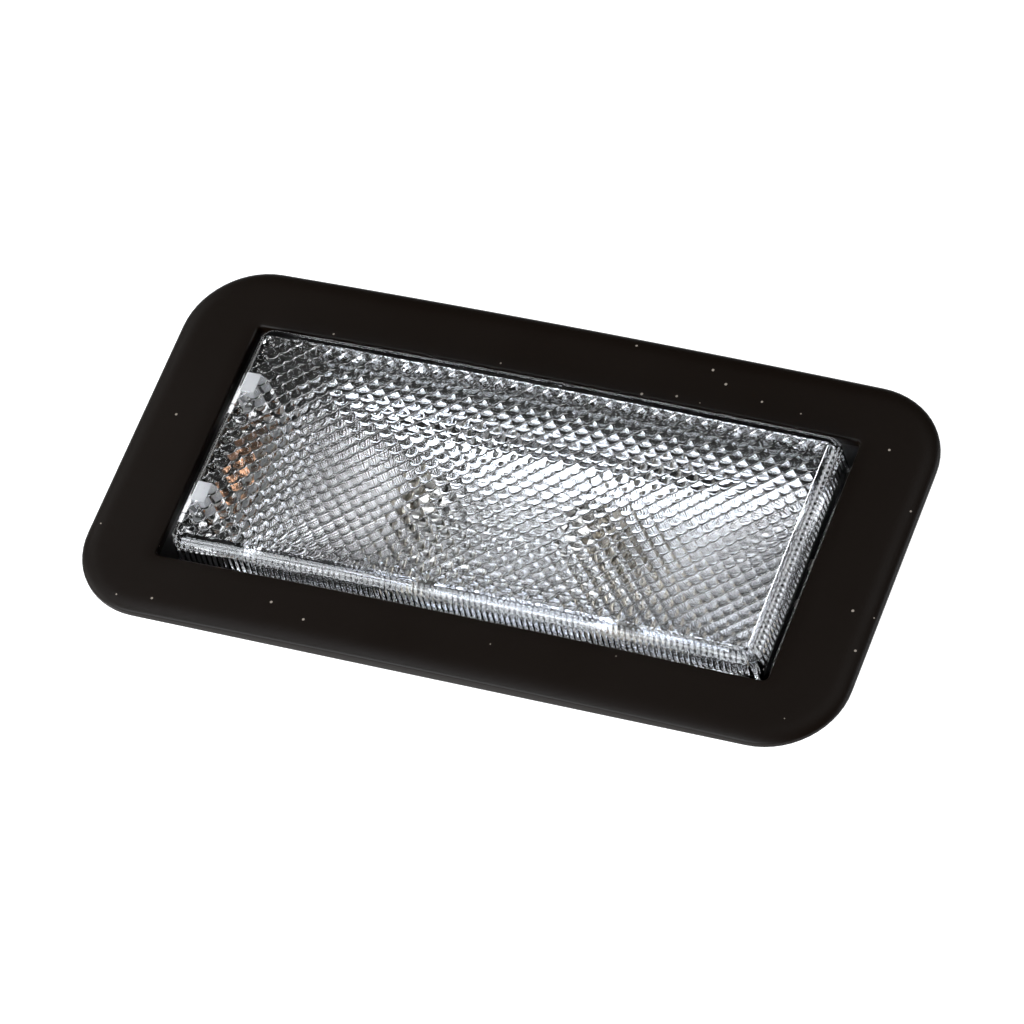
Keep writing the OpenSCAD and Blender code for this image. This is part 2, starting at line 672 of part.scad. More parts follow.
module supply_terminal() { translate([-rivet_x, 0, -floor_d - floor_t]) mirror([1, 0, 0]) terminal(); }
module earth_terminal() { translate([rivet_x, 0, -floor_d - floor_t]) terminal(); }
module door_terminal() { translate([leaf_x, leaf_y, -shelf_d - floor_t]) mirror([1, 0, 0]) terminal(); }
module door_rivet() {
    color([0.8, 0.78, 0.72]) translate([leaf_x, leaf_y, 0])
        rivet(base_z + clip_t, -shelf_d - floor_t - blade_t, rivet_r, head_r, head_h);
}

// Switch

module switch_base() {
    color([0.93, 0.93, 0.9]) difference() {
        translate([leaf_x - leaf_w / 2 - 0.3, leaf_y - leaf_span / 2 - leaf_foot, -shelf_d])
            cube([leaf_w + 0.6, leaf_span + 2 * leaf_foot, base_t]);
        for (y = [-leaf_end, 0, leaf_end]) translate([leaf_x, leaf_y + y, -shelf_d - 1])
            cylinder(r = (y == 0 ? rivet_r : small_r) + seat_gap, h = base_t + 2, $fn = round_fn);
    }
}

// The leaf: an arch of true arcs with a flat foot at each end
module switch_leaf() {
    color([0.72, 0.42, 0.25]) translate([leaf_x, leaf_y, base_z]) difference() {
        rotate([90, 0, 90]) linear_extrude(leaf_w, center = true) union() {
            intersection() {
                translate([0, leaf_rise - arch_r]) difference() {
                    circle(arch_r, $fn = 4 * round_fn);
                    circle(arch_r - leaf_t, $fn = 4 * round_fn);
                }
                translate([-leaf_span / 2, 0]) square([leaf_span, leaf_rise + 1]);
            }
            for (sx = [-1, 1]) translate([sx * (leaf_end - leaf_t), leaf_t / 2])
                square([leaf_foot + 2 * leaf_t, leaf_t], center = true);
        }
        for (sy = [-1, 1]) translate([0, sy * leaf_end, -1])
            cylinder(r = small_r + seat_gap, h = 3, $fn = round_fn);
    }
}

module leaf_rivet(sy) {
    color([0.8, 0.78, 0.72]) translate([leaf_x, leaf_y + sy * leaf_end, -shelf_d])
        rotate_extrude($fn = round_fn) union() {
            square([small_r, base_t + leaf_t]);
            translate([0, base_t + leaf_t]) square([small_head_r, small_head_h]);
        }
}

module leaf_rivet_near() { leaf_rivet(-1); }
module leaf_rivet_far() { leaf_rivet(1); }

// The fixed contact: a plate under the arch with a raised button beside its rivet
module switch_contact() {
    color([0.78, 0.66, 0.4]) translate([leaf_x, leaf_y, base_z]) difference() {
        union() {
            translate([-leaf_w / 2, -head_r - 0.7, 0]) cube([leaf_w, head_r + button_y + 2 * button_r, clip_t]);
            translate([0, button_y, clip_t]) cylinder(r = button_r, h = button_top - base_z - clip_t, $fn = round_fn);
        }
        translate([0, 0, -1]) cylinder(r = rivet_r + seat_gap, h = 3, $fn = round_fn);
    }
}

// Panel clips

// A leaf spring: riveted to the housing's end wall, it turns back up to a nose under the headliner
module panel_clip() {
    nose_x = collar_t + fit_gap + spring_reach;
    nose_z = -panel_gap;
    low = -shelf_d - spring_drop;
    color([0.55, 0.57, 0.6]) difference() {
        translate([tub_l / 2, 0, 0]) across(spring_w) union() {
            translate([0, low]) square([spring_t, -collar_d - 2 * hole_gap - low]);
            translate([spring_r, low]) difference() {
                circle(spring_r, $fn = round_fn);
                circle(spring_r - spring_t, $fn = round_fn);
                translate([-2 * spring_r, 0]) square([4 * spring_r, 2 * spring_r]);
            }
            polygon([[2 * spring_r - spring_t, low], [2 * spring_r, low], [nose_x, nose_z - nose_l * 2 / 3],
                [nose_x - nose_l, nose_z], [nose_x - nose_l * 4 / 3, nose_z - nose_l * 0.4],
                [nose_x - nose_l * 2 / 3, nose_z - nose_l * 5 / 6]]);
        }
        for (sy = [-1, 1]) translate([tub_l / 2, sy * panel_rivet_y, panel_rivet_z]) rotate([0, 90, 0])
            cylinder(r = small_r + seat_gap, h = 4 * spring_t, center = true, $fn = round_fn);
    }
}

module panel_clip_left() { mirror([1, 0, 0]) panel_clip(); }
module panel_clip_right() { panel_clip(); }

module panel_rivets() {
    color([0.8, 0.78, 0.72]) for (sy = [-1, 1])
        translate([tub_in_l / 2, sy * panel_rivet_y, panel_rivet_z]) rotate([0, 90, 0])
            rivet(wall_t + spring_t, 0, small_r, small_head_r, small_head_h);
}

module panel_rivets_left() { mirror([1, 0, 0]) panel_rivets(); }
module panel_rivets_right() { panel_rivets(); }

bezel();
rear_housing();
lens();
reflector();
bulb_glass();
bulb_cap_left();
bulb_cap_right();
bulb_filament();
bulb_clip_left();
bulb_clip_right();
supply_rivet();
earth_rivet();
door_rivet();
supply_terminal();
earth_terminal();
door_terminal();
switch_base();
switch_leaf();
leaf_rivet_near();
leaf_rivet_far();
switch_contact();
panel_clip_left();
panel_clip_right();
panel_rivets_left();
panel_rivets_right();
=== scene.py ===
from math import cos, pi, radians, sin
import bmesh
import bpy
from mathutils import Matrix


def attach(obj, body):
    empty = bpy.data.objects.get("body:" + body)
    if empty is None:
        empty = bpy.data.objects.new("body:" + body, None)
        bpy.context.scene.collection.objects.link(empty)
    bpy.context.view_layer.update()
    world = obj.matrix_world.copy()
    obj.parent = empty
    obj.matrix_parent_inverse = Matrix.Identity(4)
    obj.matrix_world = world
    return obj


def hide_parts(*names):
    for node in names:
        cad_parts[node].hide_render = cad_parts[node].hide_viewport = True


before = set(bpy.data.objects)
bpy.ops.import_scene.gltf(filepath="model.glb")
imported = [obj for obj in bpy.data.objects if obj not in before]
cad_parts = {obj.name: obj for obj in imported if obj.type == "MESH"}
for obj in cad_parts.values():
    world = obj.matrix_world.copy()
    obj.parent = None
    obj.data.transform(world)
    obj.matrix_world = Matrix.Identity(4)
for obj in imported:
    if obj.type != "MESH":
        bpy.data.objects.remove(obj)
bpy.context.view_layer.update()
mm = 0.001

# Camera and frame of the photograph

cameraView = {"location": (0.35911, -0.48513, 0.82421), "turn": (34.5344, 11.3645, 20.5052),
              "lens": 228.08, "sensor": 36, "nearest": 0.05}


def addCamera(view):
    bpy.ops.object.camera_add(location=view["location"], rotation=[radians(a) for a in view["turn"]])
    camera = bpy.context.object
    camera.name = "productCamera"
    camera.data.sensor_width = view["sensor"]
    camera.data.lens = view["lens"]
    camera.data.clip_start = view["nearest"]
    bpy.context.scene.camera = camera


addCamera(cameraView)
print("camera set")

# Studio

studio = {"floorZ": -0.0263, "floorSize": 3.0, "floorColor": (0.5, 0.5, 0.5, 1), "floorGlow": 0.95,
          "floorRough": 0.9, "white": (1, 1, 1, 1), "air": 0.03}
# Every light faces the lamp, which stands at the origin
lights = {
    "fillOverhead": {"place": (-0.36, 0.48, 0.82), "size": (0.24, 0.3), "glow": 0.15, "color": (1, 1, 0.94)},
    "softboxBack": {"place": (0.07, 0.44, 0.9), "size": (0.2, 0.34), "glow": 3.8, "color": (1, 1, 1)},
    "stripLeft": {"place": (-0.71, 0.46, 0.52), "size": (0.15, 0.32), "glow": 3.8, "color": (1, 1, 1)},
    "softboxLeft": {"place": (-0.9, -0.1, 0.5), "size": (0.45, 0.4), "glow": 4, "color": (1, 1, 1)},
    "stripOverhead": {"place": (-0.36, -0.22, 0.91), "size": (1, 0.14), "glow": 8, "color": (0.92, 0.96, 1)},
    "softboxFront": {"place": (-0.38, -0.85, 0.5), "size": (1.1, 0.6), "glow": 8, "color": (0.92, 0.96, 1)},
    "softboxRight": {"place": (0.85, 0.5, 0.36), "size": (0.7, 0.4), "glow": 6, "color": (0.93, 0.96, 1)},
}


def addLight(name, light):
    bpy.ops.object.light_add(type="AREA", location=light["place"])
    lamp = bpy.context.object
    lamp.name = name
    lamp.data.shape = "RECTANGLE"
    lamp.data.color = light["color"]
    lamp.data.size, lamp.data.size_y = light["size"]
    lamp.data.energy = light["glow"] * pi * light["size"][0] * light["size"][1]
    lamp.rotation_euler = lamp.location.to_track_quat("Z", "Y").to_euler()


def addStudio():
    scene = bpy.context.scene
    scene.view_settings.view_transform = "Standard"
    scene.view_settings.look = "None"
    world = bpy.data.worlds.new("studioAir")
    scene.world = world
    world.use_nodes = True
    air = world.node_tree.nodes["Background"]
    air.inputs["Color"].default_value = studio["white"]
    air.inputs["Strength"].default_value = studio["air"]
    bpy.ops.mesh.primitive_plane_add(size=studio["floorSize"], location=(0, 0, studio["floorZ"]))
    floor = bpy.context.object
    floor.name = "studioFloor"
    bpy.ops.object.transform_apply(location=True, rotation=True, scale=True)
    paper = bpy.data.materials.new("studioPaper")
    paper.use_nodes = True
    surface = paper.node_tree.nodes["Principled BSDF"]
    surface.inputs["Base Color"].default_value = studio["floorColor"]
    surface.inputs["Roughness"].default_value = studio["floorRough"]
    surface.inputs["Emission Color"].default_value = studio["white"]
    surface.inputs["Emission Strength"].default_value = studio["floorGlow"]
    floor.data.materials.append(paper)
    for name, light in lights.items():
        addLight(name, light)


addStudio()
print("studio set")

# Shader groups that several finishes share

grainShape = {"detail": 2, "driftDetail": 3, "driftLow": 0.3, "driftHigh": 0.7}


def newGroup(name, inputs, outputs):
    group = bpy.data.node_groups.new(name, "ShaderNodeTree")
    for label, kind, value in inputs:
        socket = group.interface.new_socket(name=label, in_out="INPUT", socket_type=kind)
        socket.default_value = value
    for label, kind in outputs:
        group.interface.new_socket(name=label, in_out="OUTPUT", socket_type=kind)
    return group, group.nodes.new("NodeGroupInput"), group.nodes.new("NodeGroupOutput")


def addNoise(tree, coordinates, scale, detail):
    noise = tree.nodes.new("ShaderNodeTexNoise")
    noise.inputs["Detail"].default_value = detail
    tree.links.new(coordinates, noise.inputs["Vector"])
    tree.links.new(scale, noise.inputs["Scale"])
    return noise


# A Math node of one kind, fed by two sockets
def addMath(tree, operation, a, b):
    sums = tree.nodes.new("ShaderNodeMath")
    sums.operation = operation
    tree.links.new(a, sums.inputs[0])
    tree.links.new(b, sums.inputs[1])
    return sums.outputs[0]


# Fine moulded or rolled grain: a height for the bump and a slow drift for the gloss
def grainGroup():
    group, source, result = newGroup(
        "surfaceGrain",
        [("Grain Scale", "NodeSocketFloat", 3000.0), ("Drift Scale", "NodeSocketFloat", 60.0),
         ("Rough Low", "NodeSocketFloat", 0.3), ("Rough High", "NodeSocketFloat", 0.4)],
        [("Height", "NodeSocketFloat"), ("Roughness", "NodeSocketFloat"), ("Drift", "NodeSocketFloat")])
    place = group.nodes.new("ShaderNodeTexCoord").outputs["Object"]
    grain = addNoise(group, place, source.outputs["Grain Scale"], grainShape["detail"])
    drift = addNoise(group, place, source.outputs["Drift Scale"], grainShape["driftDetail"])
    span = group.nodes.new("ShaderNodeMapRange")
    group.links.new(drift.outputs["Fac"], span.inputs["Value"])
    span.inputs["From Min"].default_value = grainShape["driftLow"]
    span.inputs["From Max"].default_value = grainShape["driftHigh"]
    group.links.new(source.outputs["Rough Low"], span.inputs["To Min"])
    group.links.new(source.outputs["Rough High"], span.inputs["To Max"])
    group.links.new(grain.outputs["Fac"], result.inputs["Height"])
    group.links.new(span.outputs["Result"], result.inputs["Roughness"])
    group.links.new(drift.outputs["Fac"], result.inputs["Drift"])
    return group


# Sparse dust specks, as a mask
def dustGroup():
    group, source, result = newGroup(
        "dustSpecks",
        [("Speck Scale", "NodeSocketFloat", 90.0), ("Speck Size", "NodeSocketFloat", 0.03),
         ("Share", "NodeSocketFloat", 0.1)],
        [("Mask", "NodeSocketFloat")])
    place = group.nodes.new("ShaderNodeTexCoord").outputs["Object"]
    cells = group.nodes.new("ShaderNodeTexVoronoi")
    group.links.new(place, cells.inputs["Vector"])
    group.links.new(source.outputs["Speck Scale"], cells.inputs["Scale"])
    split = group.nodes.new("ShaderNodeSeparateColor")
    group.links.new(cells.outputs["Color"], split.inputs["Color"])
    near = addMath(group, "LESS_THAN", cells.outputs["Distance"], source.outputs["Speck Size"])
    few = addMath(group, "LESS_THAN", split.outputs["Red"], source.outputs["Share"])
    group.links.new(addMath(group, "MULTIPLY", near, few), result.inputs["Mask"])
    return group


surfaceGrain = grainGroup()
dustSpecks = dustGroup()

# Finishes

# color to lighter is the drift of the tone; grain and drift are scales; rough is the span of the gloss
plainFinish = {"metal": 0, "dust": 0, "specular": 0.5}  # what holds where a finish says nothing else
finishes = {
    "blackMoulding": {"color": (0.003, 0.001, 0.0), "lighter": (0.004, 0.0016, 0.0003), "rough": (0.38, 0.44),
                      "grain": 2600, "drift": 40, "bump": 0.05, "dust": 0.5, "specular": 0.16},
    "blackHousing": {"color": (0.012, 0.011, 0.011), "lighter": (0.018, 0.017, 0.017), "rough": (0.42, 0.52),
                     "grain": 1800, "drift": 60, "bump": 0.08},
    "brightReflector": {"color": (0.86, 0.87, 0.9), "lighter": (0.92, 0.93, 0.95), "rough": (0.04, 0.07),
                        "grain": 900, "drift": 50, "bump": 0.01, "metal": 1},
    "platedSteel": {"color": (0.55, 0.53, 0.5), "lighter": (0.68, 0.66, 0.62), "rough": (0.22, 0.34),
                    "grain": 1500, "drift": 150, "bump": 0.03, "metal": 1},
    "filamentWire": {"color": (0.2, 0.19, 0.18), "lighter": (0.3, 0.29, 0.28), "rough": (0.4, 0.5),
                     "grain": 4000, "drift": 400, "bump": 0.1, "metal": 1},
    "brassStrip": {"color": (0.56, 0.5, 0.41), "lighter": (0.66, 0.6, 0.5), "rough": (0.24, 0.36),
                   "grain": 1500, "drift": 150, "bump": 0.03, "metal": 1},
    "whiteMoulding": {"color": (0.78, 0.78, 0.75), "lighter": (0.85, 0.85, 0.83), "rough": (0.4, 0.5),
                      "grain": 2000, "drift": 80, "bump": 0.04},
    "copperLeaf": {"color": (0.26, 0.14, 0.08), "lighter": (0.33, 0.18, 0.11), "rough": (0.22, 0.32),
                   "grain": 1500, "drift": 200, "bump": 0.03, "metal": 1},
    "springSteel": {"color": (0.32, 0.33, 0.35), "lighter": (0.42, 0.43, 0.45), "rough": (0.28, 0.38),
                    "grain": 1500, "drift": 150, "bump": 0.03, "metal": 1},
}
dustLook = {"scale": 300, "size": 0.07, "color": (0.3, 0.26, 0.22, 1)}
bumpDistance = 0.2 * mm


# A Mix node between two colours, of which a is a colour or a socket
def addMix(tree, a, b, factor):
    mix = tree.nodes.new("ShaderNodeMix")
    mix.data_type = "RGBA"
    if isinstance(a, tuple):
        mix.inputs["A"].default_value = a
    else:
        tree.links.new(a, mix.inputs["A"])
    mix.inputs["B"].default_value = b
    tree.links.new(factor, mix.inputs["Factor"])
    return mix.outputs["Result"]


def makeFinish(name):
    look = dict(plainFinish, **finishes[name])
    material = bpy.data.materials.new(name)
    material.use_nodes = True
    tree = material.node_tree
    surface = tree.nodes["Principled BSDF"]
    surface.inputs["Metallic"].default_value = look["metal"]
    surface.inputs["Specular IOR Level"].default_value = look["specular"]
    grain = tree.nodes.new("ShaderNodeGroup")
    grain.node_tree = surfaceGrain
    grain.inputs["Grain Scale"].default_value = look["grain"]
    grain.inputs["Drift Scale"].default_value = look["drift"]
    grain.inputs["Rough Low"].default_value, grain.inputs["Rough High"].default_value = look["rough"]
    tree.links.new(grain.outputs["Roughness"], surface.inputs["Roughness"])
    shade = addMix(tree, (*look["color"], 1), (*look["lighter"], 1), grain.outputs["Drift"])
    if look["dust"]:
        dust = tree.nodes.new("ShaderNodeGroup")
        dust.node_tree = dustSpecks
        dust.inputs["Speck Scale"].default_value = dustLook["scale"]
        dust.inputs["Speck Size"].default_value = dustLook["size"]
        dust.inputs["Share"].default_value = look["dust"]
        shade = addMix(tree, shade, dustLook["color"], dust.outputs["Mask"])
    tree.links.new(shade, surface.inputs["Base Color"])
    bump = tree.nodes.new("ShaderNodeBump")
    bump.inputs["Strength"].default_value = look["bump"]
    bump.inputs["Distance"].default_value = bumpDistance
    tree.links.new(grain.outputs["Height"], bump.inputs["Height"])
    tree.links.new(bump.outputs["Normal"], surface.inputs["Normal"])
    return material


glasses = {
    "clearLens": {"color": (0.985, 0.99, 1.0), "ior": 1.49, "clear": 1.0, "rough": (0.0, 0.02)},
    "frostedLens": {"color": (0.98, 0.98, 0.99), "ior": 1.49, "clear": 0.1, "rough": (0.25, 0.35)},
    "bulbGlass": {"color": (1.0, 1.0, 1.0), "ior": 1.47, "clear": 1.0, "rough": (0.0, 0.02)},
}


def makeGlass(name):
    look = glasses[name]
    material = bpy.data.materials.new(name)
    material.use_nodes = True
    tree = material.node_tree
    surface = tree.nodes["Principled BSDF"]
    surface.inputs["Base Color"].default_value = (*look["color"], 1)
    surface.inputs["IOR"].default_value = look["ior"]
    surface.inputs["Transmission Weight"].default_value = look["clear"]
    grain = tree.nodes.new("ShaderNodeGroup")
    grain.node_tree = surfaceGrain
    grain.inputs["Rough Low"].default_value, grain.inputs["Rough High"].default_value = look["rough"]
    tree.links.new(grain.outputs["Roughness"], surface.inputs["Roughness"])
    return material


materials = {name: makeFinish(name) for name in finishes}
materials.update({name: makeGlass(name) for name in glasses})
print("finishes made")

# Ways of working that several pieces share

merge = 0.002 * mm  # vertices that lie nearer than this are one


def openMesh(name):
    bpy.ops.object.select_all(action="DESELECT")
    bpy.ops.mesh.primitive_plane_add(size=mm)
    piece = bpy.context.object
    piece.name = name
    bpy.ops.object.mode_set(mode="EDIT")
    bpy.ops.mesh.select_mode(type="VERT")
    bpy.ops.mesh.select_all(action="SELECT")
    bpy.ops.mesh.delete(type="VERT")
    return piece


def countVertices(piece):
    return len(bmesh.from_edit_mesh(piece.data).verts)


# Selects the vertices whose index and place pass a test, and the edges that join them
def pick(piece, test):
    shape = bmesh.from_edit_mesh(piece.data)
    bpy.ops.mesh.select_all(action="DESELECT")
    for vertex in shape.verts:
        vertex.select = test(vertex.index, vertex.co)
    shape.select_flush(True)
    bmesh.update_edit_mesh(piece.data)


def pickEdges(piece, test):
    shape = bmesh.from_edit_mesh(piece.data)
    bpy.ops.mesh.select_mode(type="EDGE")
    bpy.ops.mesh.select_all(action="DESELECT")
    for edge in shape.edges:
        edge.select = test(edge)
    shape.select_flush_mode()
    bmesh.update_edit_mesh(piece.data)


# Selects the new edges that reach a given length along one axis
def pickSpans(piece, first, axis, reach, slack):
    pickEdges(piece, lambda edge: min(v.index for v in edge.verts) >= first
              and abs(abs(edge.verts[0].co[axis] - edge.verts[1].co[axis]) - reach) < slack)


# A rounded rectangle of edges, lying flat at a height; returns the range of its vertices
def addLoop(piece, loop):
    first = countVertices(piece)
    centre = (loop.get("x", 0) * mm, loop.get("y", 0) * mm, loop["z"] * mm)
    length, width, radius = loop["length"] * mm, loop["width"] * mm, loop["radius"] * mm
    bpy.ops.mesh.select_mode(type="VERT")
    bpy.ops.mesh.select_all(action="DESELECT")
    bpy.ops.mesh.primitive_plane_add(size=1, location=centre)
    bpy.ops.transform.resize(value=(length, width, 1), center_override=centre)
    bpy.ops.mesh.bevel(offset=radius, segments=loop["arc"], affect="VERTICES", clamp_overlap=False)
    bpy.ops.mesh.delete(type="ONLY_FACE")
    sides = ((0, length - 2 * radius, loop["longCuts"]), (1, width - 2 * radius, loop["shortCuts"]))
    for axis, straight, cuts in sides:
        pickSpans(piece, first, axis, straight, 1e-6)
        bpy.ops.mesh.subdivide(number_cuts=cuts)
        if loop.get("fine", 1) > 1:
            pickSpans(piece, first, axis, straight / (cuts + 1), 1e-7)
            bpy.ops.mesh.subdivide(number_cuts=loop["fine"] - 1)
    bpy.ops.mesh.select_mode(type="VERT")
    return first, countVertices(piece)


# Lifts a loop to follow the crown of the face by a share
def followCrown(piece, span, share=1.0):
    shape = bmesh.from_edit_mesh(piece.data)
    shape.verts.ensure_lookup_table()
    for index in range(*span):
        point = shape.verts[index].co
        point.z += share * crown(point.x)
    bmesh.update_edit_mesh(piece.data)


def crown(x):
    return bezel["crown"] * mm * (1 - (2 * x / (bezel["length"] * mm)) ** 2)


def bridgeLoops(piece, a, b):
    pickEdges(piece, lambda edge: all(a[0] <= v.index < a[1] for v in edge.verts)
              or all(b[0] <= v.index < b[1] for v in edge.verts))
    bpy.ops.mesh.bridge_edge_loops()


# A loop that lies between two others, by a share
def between(a, b, share):
    moved = ("length", "width", "radius", "x", "y", "z")
    return {key: a[key] + (b[key] - a[key]) * share if key in moved else a[key] for key in a}


# A loop made longer and wider by the same amount, with other values as given
def widened(loop, extra, **changes):
    return dict(loop, length=loop["length"] + extra, width=loop["width"] + extra, **changes)


def closeMesh(piece, smoothAngle):
    bpy.ops.mesh.select_mode(type="VERT")
    bpy.ops.mesh.select_all(action="SELECT")
    bpy.ops.mesh.remove_doubles(threshold=merge)
    bpy.ops.mesh.normals_make_consistent(inside=False)
    bpy.ops.object.mode_set(mode="OBJECT")
    bpy.ops.object.select_all(action="DESELECT")
    piece.select_set(True)
    bpy.context.view_layer.objects.active = piece
    bpy.ops.object.transform_apply(location=True, rotation=True, scale=True)
    bpy.ops.object.shade_smooth_by_angle(angle=radians(smoothAngle))


# Cuts a box out of a piece
def cutBox(piece, centre, size):
    bpy.ops.object.select_all(action="DESELECT")
    bpy.ops.mesh.primitive_cube_add(size=mm, location=[c * mm for c in centre], scale=size)
    cutter = bpy.context.object
    bpy.context.view_layer.objects.active = piece
    cut = piece.modifiers.new("opening", "BOOLEAN")
    cut.operation = "DIFFERENCE"
    cut.object = cutter
    bpy.ops.object.modifier_apply(modifier=cut.name)
    bpy.data.objects.remove(cutter)


def dress(piece, finish, body, replaced):
    piece.data.materials.clear()
    piece.data.materials.append(materials[finish])
    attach(piece, body)
    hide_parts(*replaced)


# Bezel: one moulding, from the soft outer edge over the crowned face and down into the opening

bezel = {
    "length": 130, "width": 67.1, "corner": 12.9, "thickness": 1.2, "crown": 1.3, "soft": 3.2, "lip": 0.35,
    "rim": 2.2, "openingLength": 104, "openingWidth": 45.4, "openingCorner": 0.9, "brow": 0.4,
    "collarLength": 108.4, "collarWidth": 49.8, "collarCorner": 3.1, "collarDepth": 5, "collarWall": 1.3,
    "windowX": 30, "windowLength": 6.2, "windowZ": -2.8, "windowHeight": 1.8, "softSteps": 8, "browSteps": 5,
    "topShares": (0.25, 0.5, 0.75), "arc": 14, "longCuts": 39, "shortCuts": 9, "smooth": 40,
}


def outerLoop(inset, z):
    return {"length": bezel["length"] - 2 * inset, "width": bezel["width"] - 2 * inset,
            "radius": bezel["corner"] - inset, "z": z}


def openingLoop(growth, z):
    return {"length": bezel["openingLength"] + 2 * growth, "width": bezel["openingWidth"] + 2 * growth,
            "radius": bezel["openingCorner"] + growth, "z": z}


def collarLoop(growth, z):
    return {"length": bezel["collarLength"] + 2 * growth, "width": bezel["collarWidth"] + 2 * growth,
            "radius": bezel["collarCorner"] + growth, "z": z}


def makeBezel():
    piece = openMesh("bezelMoulding")
    softSteps, browSteps = bezel["softSteps"], bezel["browSteps"]
    flats, rise = bezel["thickness"] - bezel["lip"], bezel["thickness"]
    profile = [(outerLoop(0, 0), 0), (outerLoop(0, bezel["lip"]), 1)]
    for k in range(1, softSteps + 1):
        turn = pi / 2 * k / softSteps
        profile.append((outerLoop(bezel["soft"] * (1 - cos(turn)), bezel["lip"] + flats * sin(turn)), 1))
    browTop = openingLoop(bezel["brow"], rise)
    for share in bezel["topShares"]:
        profile.append((between(outerLoop(bezel["soft"], rise), browTop, share), 1))
    for k in range(browSteps + 1):
        turn = pi / 2 * k / browSteps
        brow = openingLoop(bezel["brow"] * (1 - sin(turn)), rise - bezel["brow"] * (1 - cos(turn)))
        profile.append((brow, 1))
    wall, depth = bezel["collarWall"], bezel["collarDepth"]
    profile += [(openingLoop(0, 0), 0), (collarLoop(0, 0), 0), (collarLoop(0, -depth), 0),
                (collarLoop(wall, -depth), 0), (collarLoop(wall, 0), 1),
                (outerLoop(bezel["rim"], 0), 1), (outerLoop(bezel["rim"], 0), 0)]
    spans = []
    for loop, share in profile:
        loop.update(arc=bezel["arc"], longCuts=bezel["longCuts"], shortCuts=bezel["shortCuts"])
        span = addLoop(piece, loop)
        followCrown(piece, span, share)
        spans.append(span)
    for k, span in enumerate(spans):
        bridgeLoops(piece, span, spans[(k + 1) % len(spans)])
    closeMesh(piece, bezel["smooth"])
    wallY = (bezel["collarWidth"] + bezel["collarWall"]) / 2
    for sideX in (-1, 1):
        for sideY in (-1, 1):
            cutBox(piece, (sideX * bezel["windowX"], sideY * wallY, bezel["windowZ"]),
                   (bezel["windowLength"], bezel["collarWall"] + 1, bezel["windowHeight"]))
    dress(piece, "blackMoulding", "housing", ["bezel"])


makeBezel()
print("bezel moulded")

# Lens: a clear tray with fluted inner walls and pillow prisms under its plate

lensShape = {
    "length": 100.2, "width": 42.8, "x": 0.2, "corner": 2.5, "edge": 1.2, "top": 3.698, "plate": 1.4,
    "skirt": 1.9, "foot": -5.0, "draft": 0.3, "draftShares": ((1.0, 0.4), (-1.0, 0.6)), "arc": 8,
    "longCuts": 99, "shortCuts": 39, "edgeSteps": 6, "lidCuts": (40, 16), "lidMargin": 1.6, "smooth": 30,
    "cavity": {"length": 98.1, "width": 40.5, "x": 0.05, "y": -0.05},
    "flutes": {"depth": 0.12, "foot": -1.0, "runOut": 0.3, "draft": 0.1, "mouth": 0.6, "mouthLift": 0.1,
               "steps": 4, "fillet": 1.5, "filletSteps": 5},
    "prisms": {"length": 96.65, "width": 38.9, "x": -0.63, "y": 0.65, "pitch": 2.7, "height": 0.27,
               "power": 2.6, "steps": 6, "rim": 0.15, "rimDrop": 0.08},
}


def lensLoop(inset, z, fine=1):
    return {"length": lensShape["length"] - 2 * inset, "width": lensShape["width"] - 2 * inset,
            "radius": lensShape["corner"] - inset, "x": lensShape["x"], "y": 0, "z": z, "fine": fine,
            "arc": lensShape["arc"], "longCuts": lensShape["longCuts"], "shortCuts": lensShape["shortCuts"]}


# Presses the flutes into the straight sides of a loop, as round ribs with sharp valleys between them
def pressFlutes(piece, span, loop, share):
    shape = bmesh.from_edit_mesh(piece.data)
    shape.verts.ensure_lookup_table()
    deepest = share * lensShape["flutes"]["depth"] * mm
    half = (loop["length"] / 2 * mm, loop["width"] / 2 * mm)
    ribs = (loop["longCuts"] + 1, loop["shortCuts"] + 1)
    slack = 2e-8
    for index in range(*span):
        point = shape.verts[index].co
        place = (point.x - loop["x"] * mm, point.y - loop["y"] * mm)
        for axis in (0, 1):
            start = half[axis] - loop["radius"] * mm
            if abs(abs(place[1 - axis]) - half[1 - axis]) < slack and abs(place[axis]) < start + slack:
                phase = ((place[axis] + start) / (2 * start) * ribs[axis]) % 1
                push = deepest * (1 - sin(pi * phase))
                point[1 - axis] += push if place[1 - axis] > 0 else -push
    bmesh.update_edit_mesh(piece.data)


# The plate's smooth top: a grid inside the first loop of the rounded edge
def addLid(piece, edgeLoop):
    first = countVertices(piece)
    centre = (lensShape["x"] * mm, 0, lensShape["top"] * mm)
    cutsX, cutsY = lensShape["lidCuts"]
    length, width = (edgeLoop[side] - 2 * lensShape["lidMargin"] for side in ("length", "width"))
    bpy.ops.mesh.select_all(action="DESELECT")
    bpy.ops.mesh.primitive_grid_add(x_subdivisions=cutsX, y_subdivisions=cutsY, size=1, location=centre)
    bpy.ops.transform.resize(value=(length * mm, width * mm, 1), center_override=centre)
    return first, countVertices(piece)


# Bridges the open rim of a patch, given by the range of its vertices, to a loop
def bridgeToRim(piece, first, last, span):
    pickEdges(piece, lambda edge: all(span[0] <= v.index < span[1] for v in edge.verts) or (
        all(first <= v.index < last for v in edge.verts) and len(edge.link_faces) == 1))
    bpy.ops.mesh.bridge_edge_loops()


